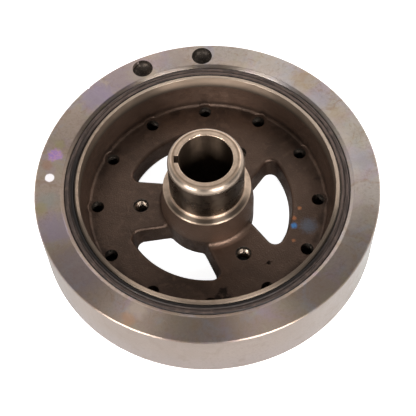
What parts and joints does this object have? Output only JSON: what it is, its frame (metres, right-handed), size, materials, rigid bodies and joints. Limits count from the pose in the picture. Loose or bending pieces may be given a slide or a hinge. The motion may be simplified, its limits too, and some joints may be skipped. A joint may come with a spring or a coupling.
{
  "type": "harmonic balancer",
  "caption": "Crankshaft harmonic balancer: a spoked iron hub with a ground, keyed snout, inside an inertia ring held by a pressed rubber strip.",
  "frame": {"origin": "centre of the ring's front face, on the bore axis; the part rests on that face", "axes": "+Z along the bore axis towards the snout that faces the engine, +X through the middle of a window, keyway towards -X"},
  "size_m": [0.2032, 0.2032, 0.0664],
  "materials": {
    "cast_hub": "dark oiled casting, turned where it is machined",
    "rubber": "matt, slightly dusty",
    "turned_iron": "turned, fine circular marks, light brown tint"
  },
  "bodies": {
    "root": {"hub": "cast_hub", "rubber_ring": "rubber", "inertia_ring": "turned_iron"}
  },
  "joints": []
}
